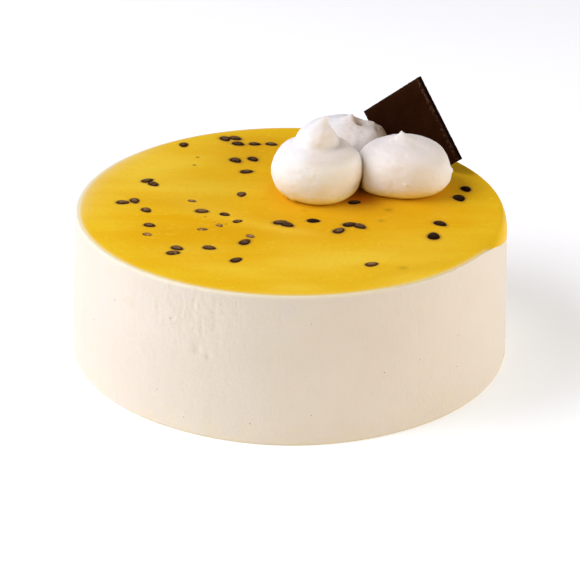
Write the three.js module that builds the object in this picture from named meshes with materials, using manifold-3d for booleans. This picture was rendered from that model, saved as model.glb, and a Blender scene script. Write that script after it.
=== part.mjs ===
// Round passion fruit mousse cake: a pale mousse body, a set layer of yellow jelly with pips,
// three soft meringue kisses and one square of dark chocolate stuck in by its corner.
// Millimetres, +Z up. The origin is the middle of the base, on the surface it stands on.
// Azimuths are in degrees from +X towards +Y; -Y is the front.

import * as THREE from 'three';
import { mergeVertices } from 'three/addons/utils/BufferGeometryUtils.js';
import Module from 'manifold-3d';

const wasm = await Module();
wasm.setup();

const DEG = Math.PI / 180;

// Cake body
const TOP = 66.75; // level of the jelly's surface
const BASE_RADIUS = 99.7; // the mousse slumps a little wider at its foot
const SHOULDER_RADIUS = 95.8; // at the height of the jelly's surface
const BASE_OVAL = 0.8; // the foot bulges this much to the front right and the back left
const BASE_OVAL_AZIMUTH = -40;
const BASE_SHIFT = -0.4; // the foot's middle, along X
const SHOULDER_SHIFT = 0.55; // the shoulder's middle, along X
const FOOT_ROUND = 0.8;
const SIDE_WAVE = 0.22; // how far the side strays from a true cone, in 3 broad waves around it
const SIDE_RIPPLE = 0.13; // the same for 7 shorter ones
const BODY_SIDES = 96;
const BODY_ROWS = 6;

// Jelly
const JELLY_THICKNESS = 4.25;
const JELLY_RADIUS = 94.9;
const JELLY_SHIFT = 1.15; // poured a little towards +X, so the white rim is widest at -X
const JELLY_BEVEL = 2.5; // its underside rises this far inside its edge
const JELLY_LIP = 0.4; // height of its side where the rim hides the rest
const RIM_DROP = 0.2; // the rim stays this much under the jelly
const GAP = 0.3; // clearance between neighbours that don't rest on each other

// Towards +X the mousse's rim is low and the jelly's side shows, running down over it. Each stretch
// of rim gets lower by the given depth as it goes between its two azimuths.
const RIM_SAGS = [
  { from: -70, to: -58, depth: 0.4 },
  { from: -38, to: -20, depth: 1.2 },
  { from: -32, to: -6, depth: 7.9 },
  { from: 75, to: 35, depth: 9.5 },
];
const RIM_SAG_MIDDLE = 10; // azimuth at which the sags from both sides meet
const SPILL_SAG = 2; // where the rim is this low, the jelly comes out as far as the cake's side

// Pips: small dark ovals lying in the surface of the jelly
const PIP_LENGTH = 6.3;
const PIP_WIDTH = 4.4;
const PIP_DEPTH = 2.2;
const PIP_SUNK = 0.25; // how far its middle lies under the surface
const PIP_TAPER = 0.22; // one end is narrower than the other
const PIP_SIDES = 8;
const PIP_ROWS = 4;
const PIP_STRAY = 12; // most that a pip lies off its string's heading, degrees
const PIP_SEED = 11;

// Strings of pips: the first one's place and heading, how much each next one is turned from the one
// before, how many, the step and azimuth to the next, and their size against a full one.
const PIP_STRINGS = [
  { x: -51.4, y: 69.8, heading: -72 },
  { x: -31.8, y: 78.2, heading: -64, turned: 34, count: 2, step: 5, azimuth: 10, size: 1.15 },
  { x: -25.2, y: 71.7, heading: -22, count: 3, step: 8, size: 1.04 },
  { x: -25.8, y: 50, heading: -57, count: 2, step: 8.3, azimuth: 12, size: 1.13 },
  { x: -20.3, y: 36, heading: 7, size: 1.05 },
  { x: -21.9, y: 8.7, heading: -86, size: 0.94 },
  { x: -65.5, y: 24.2, heading: 37, turned: -92, count: 2, step: 5.1, azimuth: -53 },
  { x: -74.5, y: -1.5, heading: 3, turned: -72, count: 2, step: 5.4, azimuth: 20 },
  { x: -63.4, y: -10, heading: -61, size: 0.96 },
  { x: -60.7, y: -26.4, heading: -38, turned: 13, count: 2, step: 9.7, azimuth: -91, size: 0.92 },
  { x: -47.3, y: -50.2, heading: -28, turned: 40, count: 2, step: 5, azimuth: -106, size: 0.97 },
  { x: -33.8, y: -49.6, heading: -28, size: 0.97 },
  { x: -22.1, y: -61.7, heading: 42, size: 0.97 },
  { x: -43.7, y: 0.9, heading: -24, turned: 13, count: 2, step: 12.6, azimuth: -67, size: 0.94 },
  { x: -28.6, y: -14, heading: -21, turned: 50, count: 2, step: 9.5, azimuth: -52, size: 0.81 },
  { x: -30.5, y: -25.9, heading: -67, turned: 72, count: 2, step: 8.4, azimuth: -149, size: 0.88 },
  { x: -16.8, y: -37.2, heading: -36, turned: 94, count: 2, step: 6.7, azimuth: -109 },
  { x: -4.2, y: -22.5, heading: 14, turned: -40, count: 2, step: 3.9, azimuth: -38, size: 1.08 },
  { x: 10.3, y: -20.5, heading: -6 },
  { x: 21.2, y: -30.9, heading: 46, size: 1.08 },
  { x: 26.1, y: -24.4, heading: 12, turned: -50, count: 2, step: 4.6, azimuth: -22, size: 1.09 },
  { x: 28.8, y: 0.4, heading: 10 },
  { x: 34, y: -64.9, heading: 11, size: 0.95 },
  { x: 65.4, y: -22.6, heading: -42, turned: 119, count: 2, step: 14, azimuth: -106, size: 1.18 },
  { x: 80, y: 16.7, heading: -68, turned: -16, count: 2, step: 11.5, azimuth: -110, size: 1.17 },
];

// Meringue kisses. Each stands on the jelly: middle, contact radius, widest radius and the height
// of that, height of the dome, and a peak that leans off the middle.
const KISS_SIDES = 36;
const KISS_SKIRT_ROWS = 4;
const KISS_DOME_ROWS = 6;
const KISS_PEAK_ROWS = 5;
const KISS_PEAK_CURVE = 1.15; // 1 is a straight cone, more is hollow
const KISS_PEAK_FOOT = 0.25; // the peak starts this share of its radius under the dome's top
const KISSES = [
  {
    name: 'meringue_front_left', x: 11.7, y: 12.4, contact: 14.3, radius: 20.2, widestAt: 10.5, dome: 25.3,
    peakRadius: 9.5, peakHeight: 10.8, leanX: 4.0, leanY: 0.5, lump: 0.3, lumpTurn: 40,
  },
  {
    name: 'meringue_front_right', x: 52.4, y: 19.8, contact: 14.6, radius: 20.8, widestAt: 8.5, dome: 23.0,
    peakRadius: 5, peakHeight: 4.0, leanX: -2.6, leanY: 0.5, lump: 0.5, lumpTurn: 150,
  },
  {
    name: 'meringue_back', x: 24.6, y: 53.7, contact: 14.5, radius: 21.9, widestAt: 8.0, dome: 18.8,
    peakRadius: 6, peakHeight: 4.4, leanX: 3.8, leanY: -2, lump: 0.4, lumpTurn: 260,
  },
];

// Chocolate square: stands on one corner, deep in the cake, and leans on the back meringue.
const SQUARE_SIDE = 42.9;
const SQUARE_THICKNESS = 2.2;
const SQUARE_BEVEL = 0.25;
const SQUARE_MIDDLE = [56.5, 53.9, 78.7]; // middle of its front face
const SQUARE_YAW = -44.4; // turned about the upright
const SQUARE_LEAN = 2.4; // leaning forward
const SQUARE_SPIN = -37.2; // turned in its own plane, which puts one corner down

function smooth(t) {
  const k = Math.min(1, Math.max(0, t));
  return k * k * (3 - 2 * k);
}

// A repeatable draw from 0 to 1
function randomSource(seed) {
  let state = seed;
  return () => {
    state = (state * 16807) % 2147483647;
    return state / 2147483647;
  };
}

// Closed solid from rings of equal count, stacked from a bottom pole to a top pole, each ring
// counterclockwise seen from above where it faces up or out. Each four-cornered patch is split
// from its corner nearer to the middle, so two solids that follow each other split alike.
function ringSolid(bottom, rings, top) {
  const count = rings[0].length;
  const points = [bottom, ...rings.flat(), top];
  const index = [];
  const at = (row, i) => 1 + row * count + (i % count);
  const outness = (i) => Math.hypot(points[i][0], points[i][1]);
  const last = points.length - 1;
  for (let i = 0; i < count; i += 1) {
    index.push(0, at(0, i + 1), at(0, i));
    for (let row = 0; row + 1 < rings.length; row += 1) {
      const [a, b, c, d] = [at(row, i), at(row, i + 1), at(row + 1, i + 1), at(row + 1, i)];
      if (outness(a) < outness(d)) index.push(a, b, c, a, c, d);
      else index.push(a, b, d, b, c, d);
    }
    index.push(at(rings.length - 1, i), at(rings.length - 1, i + 1), last);
  }
  const geometry = new THREE.BufferGeometry();
  geometry.setAttribute('position', new THREE.Float32BufferAttribute(points.flat(), 3));
  geometry.setIndex(index);
  return geometry;
}

function toManifold(geometry) {
  const bare = geometry.clone();
  bare.deleteAttribute('normal');
  bare.deleteAttribute('uv');
  const merged = mergeVertices(bare);
  return new wasm.Manifold(new wasm.Mesh({
    numProp: 3,
    vertProperties: new Float32Array(merged.attributes.position.array),
    triVerts: new Uint32Array(merged.index.array),
  }));
}

function fromManifold(solid) {
  const mesh = solid.getMesh();
  const geometry = new THREE.BufferGeometry();
  geometry.setAttribute('position', new THREE.BufferAttribute(mesh.vertProperties, 3));
  geometry.setIndex(new THREE.BufferAttribute(mesh.triVerts, 1));
  return geometry;
}

function finish(name, geometry, look) {
  geometry.computeVertexNormals();
  const mesh = new THREE.Mesh(geometry, new THREE.MeshStandardMaterial(look));
  mesh.name = name;
  return mesh;
}

// How far the rim has sagged at an azimuth
function rimSag(azimuth) {
  let depth = 0;
  for (const sag of RIM_SAGS) {
    const sameSide = (sag.to > RIM_SAG_MIDDLE) === (azimuth > RIM_SAG_MIDDLE);
    if (sameSide) depth += sag.depth * smooth((azimuth - sag.from) / (sag.to - sag.from));
  }
  return depth;
}

const rimHeight = (azimuth) => TOP - RIM_DROP - rimSag(azimuth);
const jellyRadius = (azimuth) => JELLY_RADIUS + JELLY_SHIFT * Math.cos(azimuth * DEG);
const lipHeight = (azimuth) => Math.min(rimHeight(azimuth) + GAP, TOP - JELLY_LIP);

// Point on the cake's side at an azimuth and height, drawn in from the side by inset
function sidePoint(azimuth, z, inset = 0) {
  const t = z / TOP;
  const a = azimuth * DEG;
  const wave = SIDE_WAVE * Math.sin(3 * a + 1 + 2 * t) + SIDE_RIPPLE * Math.sin(7 * a - 3 * t);
  const oval = BASE_OVAL * Math.cos(2 * (a - BASE_OVAL_AZIMUTH * DEG));
  const foot = BASE_RADIUS + oval;
  const radius = foot + (SHOULDER_RADIUS - foot) * t + wave * (1 - t * t) - inset;
  const shift = BASE_SHIFT + (SHOULDER_SHIFT - BASE_SHIFT) * t;
  return [shift + radius * Math.cos(a), radius * Math.sin(a), z];
}

// Azimuths of a ring, from -180 up to just under 180
function ringAzimuths(sides) {
  return Array.from({ length: sides }, (_, i) => -180 + (360 * i) / sides);
}

const polar = (radius, azimuth, z) => [radius * Math.cos(azimuth * DEG), radius * Math.sin(azimuth * DEG), z];

// How far the jelly has run out over the sagged rim at an azimuth
function spill(azimuth) {
  const [x, y] = sidePoint(azimuth, lipHeight(azimuth));
  return Math.max(0, Math.hypot(x, y) - jellyRadius(azimuth)) * smooth(rimSag(azimuth) / SPILL_SAG);
}

// Mousse body: side, rim, and the shallow bed that the jelly lies in
function mousseGeometry() {
  const bed = TOP - JELLY_THICKNESS;
  const azimuths = ringAzimuths(BODY_SIDES);
  const rings = [azimuths.map((a) => sidePoint(a, 0, FOOT_ROUND))];
  for (let row = 0; row <= BODY_ROWS; row += 1) {
    rings.push(azimuths.map((a) => {
      const z = FOOT_ROUND + (rimHeight(a) - FOOT_ROUND) * (row / BODY_ROWS);
      return sidePoint(a, z);
    }));
  }
  rings.push(azimuths.map((a) => polar(jellyRadius(a) + GAP / 4, a, rimHeight(a))));
  rings.push(azimuths.map((a) => {
    const rise = Math.min(1, Math.max(-1, (rimHeight(a) - bed) / JELLY_BEVEL));
    return polar(jellyRadius(a) - JELLY_BEVEL + GAP * rise, a, bed);
  }));
  return ringSolid([0, 0, 0], rings, [0, 0, bed]);
}

// Jelly: flat underside on the bed, a bevel over the rim's slope, a side that is low where the
// rim stands around it and runs down over the sagged part, and a level top
function jellyGeometry() {
  const bed = TOP - JELLY_THICKNESS;
  const azimuths = ringAzimuths(BODY_SIDES);
  const rings = [
    azimuths.map((a) => polar(jellyRadius(a) - JELLY_BEVEL, a, bed)),
    azimuths.map((a) => polar(jellyRadius(a) - GAP / 4, a, lipHeight(a))),
    azimuths.map((a) => polar(jellyRadius(a) - GAP / 4 + spill(a), a, lipHeight(a) + JELLY_LIP / 2)),
    azimuths.map((a) => polar(jellyRadius(a) - GAP / 4, a, TOP)),
  ];
  return ringSolid([0, 0, bed], rings, [0, 0, TOP]);
}

// One pip, long axis along its heading, at the origin
function pipGeometry(heading, size) {
  const geometry = new THREE.SphereGeometry(1, PIP_SIDES, PIP_ROWS);
  const position = geometry.attributes.position;
  for (let i = 0; i < position.count; i += 1) {
    const along = position.getX(i);
    const width = 1 - PIP_TAPER * along;
    position.setXYZ(
      i,
      (along * PIP_LENGTH * size) / 2,
      (position.getY(i) * width * PIP_WIDTH * size) / 2,
      (position.getZ(i) * PIP_DEPTH * size) / 2,
    );
  }
  geometry.rotateZ(heading);
  return geometry;
}

function addPips(jelly) {
  const random = randomSource(PIP_SEED);
  let solid = jelly;
  for (const { x, y, heading, turned = 0, count = 1, step = 0, azimuth = 0, size = 1 } of PIP_STRINGS) {
    for (let i = 0; i < count; i += 1) {
      const stray = (random() - 0.5) * 2 * PIP_STRAY;
      const geometry = pipGeometry((heading + i * turned + stray) * DEG, size);
      const [alongX, alongY] = polar(i * step, azimuth, 0);
      geometry.translate(x + alongX, y + alongY, TOP - PIP_SUNK);
      solid = solid.add(toManifold(geometry));
    }
  }
  return solid;
}

// Profile of a kiss without its peak: radius and height for each row
function kissProfile(kiss) {
  const rows = [];
  for (let i = 0; i <= KISS_SKIRT_ROWS; i += 1) {
    const a = (i / KISS_SKIRT_ROWS) * (Math.PI / 2);
    rows.push([
      kiss.contact + (kiss.radius - kiss.contact) * Math.sin(a),
      kiss.widestAt * (1 - Math.cos(a)),
    ]);
  }
  const peakShare = Math.min(0.95, kiss.peakRadius / kiss.radius);
  const peakAngle = Math.acos(peakShare);
  const domeAt = (a) => [
    kiss.radius * Math.cos(a),
    kiss.widestAt + (kiss.dome - kiss.widestAt) * Math.sin(a),
  ];
  for (let i = 1; i <= KISS_DOME_ROWS; i += 1) {
    rows.push(domeAt((peakAngle * i) / KISS_DOME_ROWS));
  }
  for (let i = 1; i < KISS_PEAK_ROWS; i += 1) {
    const share = 1 - i / KISS_PEAK_ROWS;
    const [radius, z] = domeAt(Math.acos(peakShare * share));
    rows.push([radius, z + kiss.peakHeight * (1 - share) ** KISS_PEAK_CURVE]);
  }
  return rows;
}

// A kiss on the jelly. The rings of its peak drift towards the leaning tip, its outline has soft
// lumps, and it is pressed flat where it meets a neighbour.
function kissGeometry(kiss, others) {
  const tipZ = kiss.dome + kiss.peakHeight;
  const footZ = kiss.dome - KISS_PEAK_FOOT * kiss.peakRadius;
  const axisAt = (z) => {
    const t = Math.max(0, (z - footZ) / (tipZ - footZ));
    return [kiss.leanX * t, kiss.leanY * t];
  };
  const press = (point) => {
    let [x, y] = point;
    for (const other of others) {
      const dx = other.x - kiss.x;
      const dy = other.y - kiss.y;
      const apart = Math.hypot(dx, dy);
      const limit = (apart * kiss.radius) / (kiss.radius + other.radius) - GAP / 2;
      const beyond = (x * dx + y * dy) / apart - limit;
      if (beyond > 0) {
        x -= (dx / apart) * beyond;
        y -= (dy / apart) * beyond;
      }
    }
    return [kiss.x + x, kiss.y + y, TOP + point[2]];
  };
  const rings = kissProfile(kiss).map(([radius, z]) => {
    const [cx, cy] = axisAt(z);
    return ringAzimuths(KISS_SIDES).map((azimuth) => {
      const a = azimuth * DEG;
      const turn = kiss.lumpTurn * DEG;
      const lump = kiss.lump * (Math.sin(2 * a + turn) + 0.6 * Math.sin(3 * a - turn + z / 8));
      const r = radius + (lump * radius) / kiss.radius;
      return press([cx + r * Math.cos(a), cy + r * Math.sin(a), z]);
    });
  });
  const [tipX, tipY] = axisAt(tipZ);
  return ringSolid([kiss.x, kiss.y, TOP], rings, [kiss.x + tipX, kiss.y + tipY, TOP + tipZ]);
}

// A flat square, front face in the plane y = 0 facing -Y, with its edges softened by the bevel
function squareGeometry(side, thickness, bevel, before = 0) {
  const half = side / 2 - bevel;
  const shape = new THREE.Shape([
    new THREE.Vector2(-half, -half),
    new THREE.Vector2(half, -half),
    new THREE.Vector2(half, half),
    new THREE.Vector2(-half, half),
  ]);
  const geometry = new THREE.ExtrudeGeometry(shape, {
    depth: thickness - 2 * bevel,
    bevelEnabled: bevel > 0,
    bevelThickness: bevel,
    bevelSize: bevel,
    bevelSegments: 1,
    steps: 1,
  });
  geometry.rotateX(Math.PI / 2);
  geometry.translate(0, thickness - bevel - before, 0);
  return geometry;
}

// Turn and carry a square from its own plane to its place in the cake
function placeSquare(object) {
  const spin = new THREE.Group();
  spin.rotation.y = SQUARE_SPIN * DEG;
  spin.add(object);
  const lean = new THREE.Group();
  lean.rotation.x = SQUARE_LEAN * DEG;
  lean.add(spin);
  const yaw = new THREE.Group();
  yaw.rotation.z = SQUARE_YAW * DEG;
  yaw.position.set(...SQUARE_MIDDLE);
  yaw.add(lean);
  yaw.updateMatrixWorld(true);
  return yaw;
}

// The slit that the chocolate's corner was pushed into
function slit() {
  const cutter = new THREE.Mesh(squareGeometry(SQUARE_SIDE + 2 * GAP, SQUARE_THICKNESS + 2 * GAP, 0, GAP));
  placeSquare(cutter);
  return toManifold(cutter.geometry.applyMatrix4(cutter.matrixWorld));
}

const cake = new THREE.Group();
cake.name = 'passion_fruit_cake';
const cut = slit();

const mousse = fromManifold(toManifold(mousseGeometry()).subtract(cut));
cake.add(finish('mousse_body', mousse, { color: 0xf3e7d3, roughness: 0.6, metalness: 0 }));

const jelly = fromManifold(addPips(toManifold(jellyGeometry()).subtract(cut)));
cake.add(finish('passion_fruit_jelly', jelly, { color: 0xebb91e, roughness: 0.15, metalness: 0 }));

for (const kiss of KISSES) {
  const others = KISSES.filter((other) => other !== kiss);
  const look = { color: 0xf8efe6, roughness: 0.75, metalness: 0 };
  cake.add(finish(kiss.name, kissGeometry(kiss, others), look));
}

const square = squareGeometry(SQUARE_SIDE, SQUARE_THICKNESS, SQUARE_BEVEL);
const chocolate = finish('chocolate_square', square, { color: 0x26120c, roughness: 0.3, metalness: 0 });
cake.add(placeSquare(chocolate));

export default cake;
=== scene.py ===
# Passion fruit mousse cake: a round of cream-white mousse, a set layer of golden jelly full of
# dark pips, three soft white meringue kisses and a square of dark chocolate standing on a corner.
# Metres, +Z up, the front of the cake towards -Y. The origin is the middle of its base.

import math

import bpy
import numpy as np
from mathutils import Matrix, Vector
from mathutils.noise import noise as mesh_noise


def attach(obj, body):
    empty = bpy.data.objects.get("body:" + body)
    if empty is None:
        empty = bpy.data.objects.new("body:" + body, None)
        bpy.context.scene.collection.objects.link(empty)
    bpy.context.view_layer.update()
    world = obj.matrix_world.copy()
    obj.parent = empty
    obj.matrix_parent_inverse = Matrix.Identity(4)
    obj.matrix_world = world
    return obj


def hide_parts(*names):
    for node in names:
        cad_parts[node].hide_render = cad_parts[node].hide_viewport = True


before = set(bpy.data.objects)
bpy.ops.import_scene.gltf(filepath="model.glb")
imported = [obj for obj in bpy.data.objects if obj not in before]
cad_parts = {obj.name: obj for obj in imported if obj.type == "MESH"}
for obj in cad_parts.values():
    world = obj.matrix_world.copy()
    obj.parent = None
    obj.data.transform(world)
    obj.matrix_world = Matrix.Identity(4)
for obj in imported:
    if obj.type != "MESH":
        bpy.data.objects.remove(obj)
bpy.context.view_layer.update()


# The mousse
#
# Set cream mousse, turned out of a ring: a nearly straight side that slumps a little at its foot,
# a narrow rim, and a shallow bed for the jelly. Towards +X the rim has sagged under the jelly.

MM = 0.001
DEGREE = math.pi / 180
TOP = 66.75 * MM  # level of the jelly's surface
BED_DEPTH = 4.25 * MM
FOOT_RADIUS = 99.67 * MM
SHOULDER_RADIUS = 95.8 * MM  # at the level of the jelly's surface
FOOT_OVAL = 0.8 * MM  # the foot bulges this much to the front right and the back left
FOOT_OVAL_AZIMUTH = -40
FOOT_SHIFT = -0.4 * MM  # the foot's middle, along X
SHOULDER_SHIFT = 0.55 * MM  # the shoulder's middle, along X
FOOT_ROUND = 0.8 * MM
SIDE_WAVE = 0.22 * MM  # how far the side strays from a true cone, in 3 broad waves
SIDE_RIPPLE = 0.13 * MM  # the same for 7 shorter ones
SIDE_MARKS = 0.24 * MM  # the finest marks that the ring left
# They are made of three noises: scale, how much each is drawn out upright, and strength
MARK_NOISES = [(30.0, 0.5, 0.5), (210.0, 0.2, 0.8), (480.0, 0.6, 1.0)]
MARK_PATCHES = 2.5  # noise scale of the patches in which they are strong
RIM_DROP = 0.2 * MM  # the rim stays this much under the jelly
RIM_ROUND = 1.0 * MM
# Each stretch of rim gets lower by its depth as it goes between its two azimuths
RIM_SAGS = [(-70, -58, 0.4 * MM), (-38, -20, 1.2 * MM), (-32, -6, 7.9 * MM), (75, 35, 9.5 * MM)]
SAGS_MEET = 10  # azimuth at which the sags from both sides meet
JELLY_RADIUS = 94.9 * MM
JELLY_SHIFT = 1.15 * MM  # poured a little towards +X
JELLY_BEVEL = 2.5 * MM  # its underside rises this far inside its edge
# A patch of burst bubbles on the side: the azimuth and height of its middle, and how far it spreads
BUBBLES_AZIMUTH, BUBBLES_HEIGHT = -115, 55 * MM
BUBBLES_WIDTH, BUBBLES_RISE = 18, 10 * MM
BUBBLES_STRENGTH = 3.8  # times the side's fine marks
# Dents in the side: azimuth, and height, width and depth in mm
DENTS = [
    (-112.7, 39.7, 1.3, 0.55), (-109.9, 37.5, 1.1, 0.45), (-163, 44, 1.6, 0.25),
    (-44, 14, 2.5, 0.2), (20, 40, 3, 0.3),
]
DENT_TALLNESS = 1.6  # height of a dent for its width
WELD_DISTANCE = 0.01 * MM  # points nearer than this are one, at the seam and in the middles
MOUSSE_COLUMNS = 700
MOUSSE_ROWS = 126
# The share of the rows at which each stretch of the outline ends: the underside, the side, the round
# of the rim, the rim's last row but one, the rim and the slope to the bed. Rows fall on its corners.
UNDER_ENDS, SIDE_ENDS, ROUND_ENDS = 0.024, 0.848, 0.904
NEAR_RIM_END, RIM_ENDS, SLOPE_ENDS = 0.912, 0.92, 0.96
NEAR_RIM = 0.93  # how far in over the rim its last row but one lies
MARKS_START, MARKS_FULL, MARKS_FADE = 0.03, 0.06, 0.82  # the same kind of share, for the marks
ROUND_SHARE = 0.75  # most of the rim's width that its round takes up

CREAM = (0.76, 0.672, 0.562)
PALE_CREAM = (0.785, 0.70, 0.595)
YELLOWER_BLOTCH = (0.76, 0.66, 0.50)
LILAC_BLOTCH = (0.73, 0.66, 0.62)
FOOT_LUMPS = (0.79, 0.69, 0.51)
PAINTED_FOOT_SHADE = (0.62, 0.50, 0.27)
STAINED_RIM = (0.96, 0.84, 0.60)
STAINED_RIM_TOP = (1.0, 0.90, 0.66)


class Field:
    """A number that varies over a geometry, kept as a node socket so that it can be written as a sum."""

    def __init__(self, tree, socket):
        self.tree = tree
        self.socket = socket

    def maths(self, operation, *others):
        node = self.tree.nodes.new("ShaderNodeMath")
        node.operation = operation
        for place, value in enumerate((self, *others)):
            if isinstance(value, Field):
                self.tree.links.new(value.socket, node.inputs[place])
            else:
                node.inputs[place].default_value = value
        return Field(self.tree, node.outputs[0])

    def __add__(self, other):
        return self.maths("ADD", other)

    def __sub__(self, other):
        return self.maths("SUBTRACT", other)

    def __mul__(self, other):
        return self.maths("MULTIPLY", other)

    def __truediv__(self, other):
        return self.maths("DIVIDE", other)

    def __radd__(self, other):
        return self * 1 + other

    def __rsub__(self, other):
        return self * -1 + other

    def sine(self):
        return self.maths("SINE")

    def cosine(self):
        return self.maths("COSINE")

    def least(self, other):
        return self.maths("MINIMUM", other)

    def most(self, other):
        return self.maths("MAXIMUM", other)

    def step(self, start, end, soft=False):
        """0 before start, 1 after end."""
        node = self.tree.nodes.new("ShaderNodeMapRange")
        node.interpolation_type = "SMOOTHSTEP" if soft else "LINEAR"
        self.tree.links.new(self.socket, node.inputs["Value"])
        node.inputs["From Min"].default_value = start
        node.inputs["From Max"].default_value = end
        return Field(self.tree, node.outputs["Result"])


def new_tree(name, numbers):
    """A geometry node tree with one named input for each size, and those inputs as fields."""
    tree = bpy.data.node_groups.new(name, "GeometryNodeTree")
    tree.interface.new_socket("Geometry", in_out="INPUT", socket_type="NodeSocketGeometry")
    tree.interface.new_socket("Geometry", in_out="OUTPUT", socket_type="NodeSocketGeometry")
    for label, value in numbers.items():
        kind = "NodeSocketInt" if isinstance(value, int) else "NodeSocketFloat"
        tree.interface.new_socket(label, in_out="INPUT", socket_type=kind)
    start = tree.nodes.new("NodeGroupInput")
    fields = {label: Field(tree, start.outputs[label]) for label in numbers}
    return tree, start, fields


def node(tree, kind, links=None, **settings):
    """One node: sockets named in links are joined or set, everything else is a setting of the node."""
    made = tree.nodes.new(kind)
    for key, value in settings.items():
        setattr(made, key, value)
    for socket, value in (links or {}).items():
        if isinstance(value, Field):
            tree.links.new(value.socket, made.inputs[socket])
        elif isinstance(value, bpy.types.NodeSocket):
            tree.links.new(value, made.inputs[socket])
        else:
            made.inputs[socket].default_value = value
    return made


def vector(tree, x, y, z):
    return node(tree, "ShaderNodeCombineXYZ", {"X": x, "Y": y, "Z": z}).outputs[0]


def axes(tree, kind, output=0):
    """The X, Y and Z of what a new node of this kind gives out, as three fields."""
    parted = node(tree, "ShaderNodeSeparateXYZ", {"Vector": tree.nodes.new(kind).outputs[output]})
    return [Field(tree, parted.outputs[axis]) for axis in "XYZ"]


def end_tree(tree, geometry, look):
    """The last nodes of a tree: it is shaded smooth, its instances are made real and it gets its look."""
    smooth = node(tree, "GeometryNodeSetShadeSmooth", {"Geometry": geometry})
    real = node(tree, "GeometryNodeRealizeInstances", {"Geometry": smooth.outputs[0]})
    finished = node(tree, "GeometryNodeSetMaterial", {"Geometry": real.outputs[0], "Material": look})
    node(tree, "NodeGroupOutput", {"Geometry": finished.outputs[0]})


def add(name, data):
    """A new object in the scene."""
    made = bpy.data.objects.new(name, data)
    bpy.context.scene.collection.objects.link(made)
    return made


def grow(name, tree, numbers, mesh=None):
    """A plain mesh object from a tree: its inputs are set first, then it is evaluated and dropped."""
    blank = add(name + "_start", mesh or bpy.data.meshes.new(name + "_start"))
    modifier = blank.modifiers.new("shape", "NODES")
    modifier.node_group = tree
    for item in tree.interface.items_tree:
        if item.in_out == "INPUT" and item.name in numbers:
            modifier[item.identifier] = numbers[item.name]
    evaluated = blank.evaluated_get(bpy.context.evaluated_depsgraph_get())
    made = bpy.data.meshes.new_from_object(evaluated)
    made.name = name
    bpy.data.objects.remove(blank)
    return add(name, made)


def new_material(name, roughness, **numbers):
    """A material with its main shader and the values that are the same all over it."""
    made = bpy.data.materials.new(name)
    made.use_nodes = True
    shader = made.node_tree.nodes["Principled BSDF"]
    shader.inputs["Roughness"].default_value = roughness
    for key, value in numbers.items():
        shader.inputs[key.replace("_", " ")].default_value = value
    return made, made.node_tree, shader


def cloud(tree, where, scale, detail=2.0):
    """Noise at a place, from 0 to 1."""
    numbers = {"Vector": where, "Scale": scale, "Detail": detail}
    return Field(tree, node(tree, "ShaderNodeTexNoise", numbers).outputs["Fac"])


def noise(tree, scale, detail=2.0, coords=None, stretch=(1, 1, 1), place=(0, 0, 0)):
    """Noise on the piece's own coordinates, for a material. A stretch under 1 draws it out that way."""
    where = coords or tree.nodes.new("ShaderNodeTexCoord").outputs["Object"]
    mapped = node(tree, "ShaderNodeMapping", {"Vector": where, "Location": place, "Scale": stretch})
    return cloud(tree, mapped.outputs[0], scale, detail)


def paint(tree, shader, colour, layers):
    """The shader's colour: one colour all over, then each layer's own as far as its amount goes."""
    under = (*colour, 1)
    for amount, over in layers:
        mixed = node(tree, "ShaderNodeMix", {0: amount, 6: under, 7: (*over, 1)}, data_type="RGBA")
        under = mixed.outputs[2]
    tree.links.new(under, shader.inputs["Base Color"])


def relief(tree, shader, height, strength, distance):
    """Relief too fine for the mesh, in the material."""
    made = node(tree, "ShaderNodeBump", {"Height": height, "Strength": strength, "Distance": distance})
    tree.links.new(made.outputs[0], shader.inputs["Normal"])


mousse_look, tree, shader = new_material(
    "cream mousse", 0.55, Subsurface_Weight=0.25, Subsurface_Scale=0.004, Specular_IOR_Level=0.35,
    Subsurface_Radius=(1.0, 0.75, 0.5),
)
height = axes(tree, "ShaderNodeTexCoord", "Object")[2]
blotch = noise(tree, 90, 2, place=(0.3, 0.1, 0)).step(0.66, 0.78, soft=True)
lilac = noise(tree, 75, 1, place=(0.7, 0.2, 0.4)).step(0.68, 0.78, soft=True)
near_foot = 1 - height.step(2 * MM, 15 * MM, soft=True)
lumps = noise(tree, 170, 3).step(0.42, 0.66, soft=True)
# the juice of the jelly has stained its rim
near_rim = height.step(TOP - 1.75 * MM, TOP - 0.55 * MM, soft=True)
paint(tree, shader, CREAM, [
    (noise(tree, 28, 3).step(0.35, 0.7), PALE_CREAM),
    (blotch * 0.3, YELLOWER_BLOTCH),
    (lilac * 0.35, LILAC_BLOTCH),
    (near_foot * lumps * 0.55, FOOT_LUMPS),
    # painted shade where the foot meets the floor
    ((1 - height.step(0.2 * MM, 1.6 * MM)) * 0.6, PAINTED_FOOT_SHADE),
    (near_rim * 0.5, STAINED_RIM),
    (height.step(TOP - 0.65 * MM, TOP - 0.25 * MM), STAINED_RIM_TOP),
])
pores = 1 - noise(tree, 1100, 1).step(0.30, 0.36) * 0.6
upright_grain = noise(tree, 900, 3, stretch=(1, 1, 0.5))
upright_ripple = noise(tree, 260, 2, stretch=(1, 1, 0.4))
relief(tree, shader, upright_grain + upright_ripple * 1.5 - pores * 0.8, 0.5, 0.4 * MM)

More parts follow.
